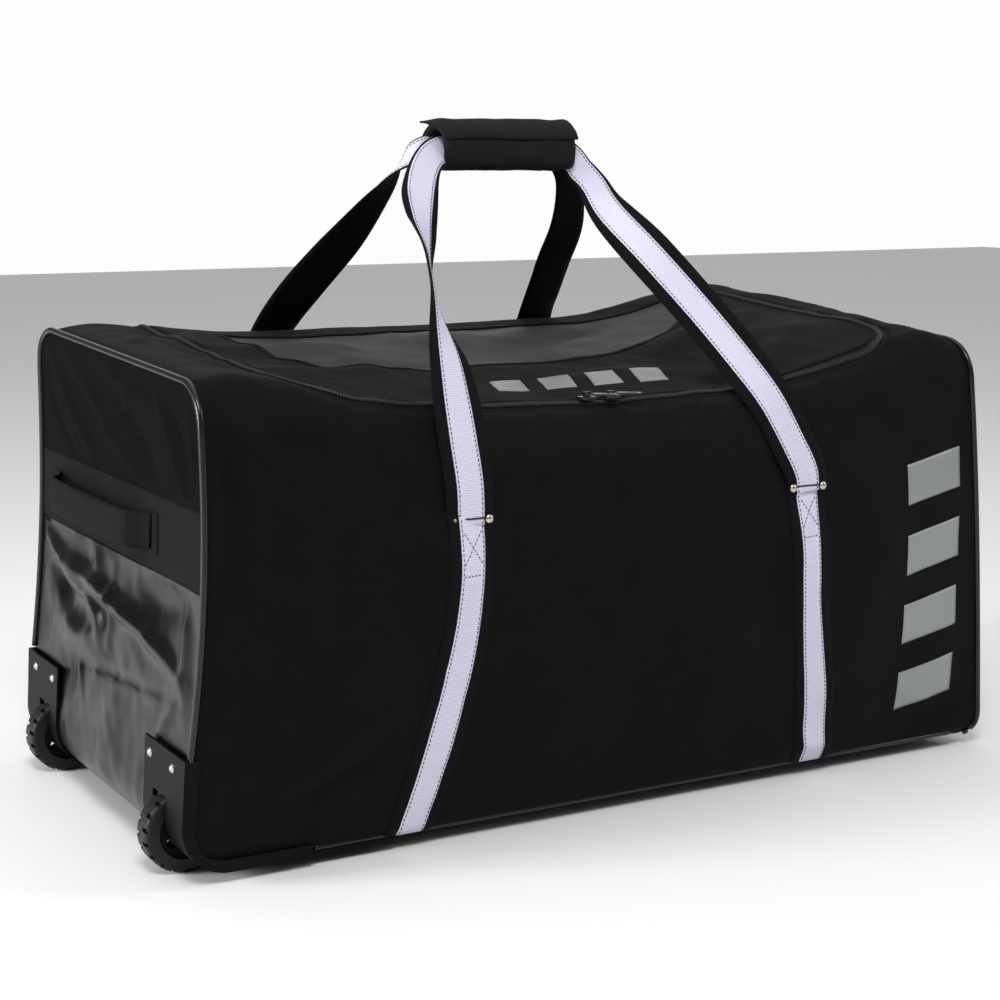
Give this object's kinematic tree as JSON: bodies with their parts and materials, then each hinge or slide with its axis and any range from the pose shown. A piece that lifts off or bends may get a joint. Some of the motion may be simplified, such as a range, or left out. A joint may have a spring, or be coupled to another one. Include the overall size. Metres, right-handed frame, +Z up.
{
  "type": "wheeled equipment bag",
  "caption": "Large wheeled duffel for ice sports kit, with a zipped lid, twin carry handles joined by a padded grip, end grab handles and two inset wheels.",
  "frame": {"origin": "centre of the bounding box in X and Y, on the floor under the wheels and feet", "axes": "+X along the length away from the wheels, -Y towards the front panel with the strap rivets and the mark, +Z up"},
  "size_m": [0.932, 0.5109, 0.668],
  "materials": {
    "polyester": "matte coated polyester weave",
    "base_fabric": "coated base fabric",
    "tarpaulin": "glossy coated tarpaulin",
    "mesh": "fine knitted mesh",
    "webbing": "black polyester webbing",
    "reflective_tape": "pale reflective ribbed tape",
    "grip_fabric": "padded fabric",
    "piping": "glossy piping",
    "housing_plastic": "moulded plastic",
    "board": "stiff sheet",
    "zip_tape": "woven zip tape",
    "zip_coil": "nylon coil",
    "slider_metal": "black enamelled zinc",
    "nickel": "antique nickel",
    "steel": "plain steel",
    "silver_print": "satin silver print",
    "foot_rubber": "moulded rubber",
    "tyre_rubber": "block tread rubber",
    "hub_plastic": "moulded plastic"
  },
  "bodies": {
    "bag": {"front_panel": "polyester", "back_panel": "polyester", "base_panel": "base_fabric", "rim_left": "polyester", "rim_right": "polyester", "rim_back": "polyester", "end_lower_left": "tarpaulin", "end_band_left": "polyester", "end_mesh_left": "mesh", "end_lower_right": "tarpaulin", "end_band_right": "polyester", "end_mesh_right": "mesh", "base_board": "board", "zip_tape_body": "zip_tape", "zip_chain_body": "zip_coil", "piping_left": "piping", "piping_right": "piping", "piping_front": "piping", "piping_back": "piping", "wheel_housing_front": "housing_plastic", "wheel_housing_back": "housing_plastic", "axle_front": "steel", "axle_back": "steel", "housing_rivets": "nickel", "runner_front": "housing_plastic", "runner_back": "housing_plastic", "foot_front": "foot_rubber", "foot_back": "foot_rubber", "sewn_strap_front_left": "webbing", "sewn_strap_front_right": "webbing", "sewn_strap_back_left": "webbing", "sewn_strap_back_right": "webbing", "sewn_tape_front": "reflective_tape", "sewn_tape_back": "reflective_tape", "mark_front": "silver_print", "strap_rivets": "nickel"},
    "lid": {"lid_panel": "polyester", "lid_mesh": "mesh", "zip_tape_lid": "zip_tape", "zip_chain_lid": "zip_coil", "mark_lid": "silver_print"},
    "front_handle": {"front_handle_webbing": "webbing", "front_handle_tape": "reflective_tape", "grip_wrap": "grip_fabric"},
    "back_handle": {"back_handle_webbing": "webbing", "back_handle_tape": "reflective_tape", "grip_back_pad": "grip_fabric"},
    "slider_left": {"zip_slider_left": "slider_metal"},
    "slider_right": {"zip_slider_right": "slider_metal"},
    "pull_left": {"pull_tab_left": "slider_metal"},
    "pull_right": {"pull_tab_right": "slider_metal"},
    "grab_left": {"end_handle_left": "webbing"},
    "grab_right": {"end_handle_right": "webbing"},
    "wheel_front": {"tyre_front": "tyre_rubber", "hub_front": "hub_plastic"},
    "wheel_back": {"tyre_back": "tyre_rubber", "hub_back": "hub_plastic"}
  },
  "joints": [
    {"name": "lid_hinge", "type": "hinge", "parent": "bag", "child": "lid", "pos_m": [0.008, 0.1835, 0.4515], "axis": [-1, 0, 0], "range_deg": [0, 110]},
    {"name": "front_handle_swing", "type": "hinge", "parent": "bag", "child": "front_handle", "pos_m": [0.008, -0.2514, 0.314], "axis": [1, 0, 0], "range_deg": [0, 150]},
    {"name": "back_handle_swing", "type": "hinge", "parent": "bag", "child": "back_handle", "pos_m": [0.008, 0.2542, 0.314], "axis": [-1, 0, 0], "range_deg": [0, 150]},
    {"name": "slider_left_travel", "type": "hinge", "parent": "lid", "child": "slider_left", "pos_m": [0.008, -0.206, 2.80109], "axis": [0, 1, 0], "range_deg": [0, 2.7]},
    {"name": "slider_right_travel", "type": "hinge", "parent": "lid", "child": "slider_right", "pos_m": [0.008, -0.206, 2.80109], "axis": [0, -1, 0], "range_deg": [0, 2.3]},
    {"name": "pull_left_flip", "type": "hinge", "parent": "slider_left", "child": "pull_left", "pos_m": [-0.024, -0.206, 0.40961], "axis": [-0.6157, -0.788, 0], "range_deg": [0, 140]},
    {"name": "pull_right_flip", "type": "hinge", "parent": "slider_right", "child": "pull_right", "pos_m": [0.003, -0.206, 0.40941], "axis": [-0.6157, -0.788, 0], "range_deg": [0, 140]},
    {"name": "grab_left_lift", "type": "hinge", "parent": "bag", "child": "grab_left", "pos_m": [-0.4325, 0.015, 0.314], "axis": [0, 1, 0], "range_deg": [0, 75]},
    {"name": "grab_right_lift", "type": "hinge", "parent": "bag", "child": "grab_right", "pos_m": [0.4448, 0, 0.314], "axis": [0, -1, 0], "range_deg": [0, 75]},
    {"name": "wheel_front_spin", "type": "hinge", "parent": "bag", "child": "wheel_front", "pos_m": [-0.428, -0.1735, 0.038], "axis": [0, 1, 0], "continuous": true},
    {"name": "wheel_back_spin", "type": "hinge", "parent": "bag", "child": "wheel_back", "pos_m": [-0.428, 0.1735, 0.038], "axis": [0, 1, 0], "continuous": true}
  ],
  "couplings": [
    {"joint": "front_handle_swing", "follows": "lid_hinge", "ratio": 1.35},
    {"joint": "back_handle_swing", "follows": "lid_hinge", "ratio": 1.35}
  ]
}
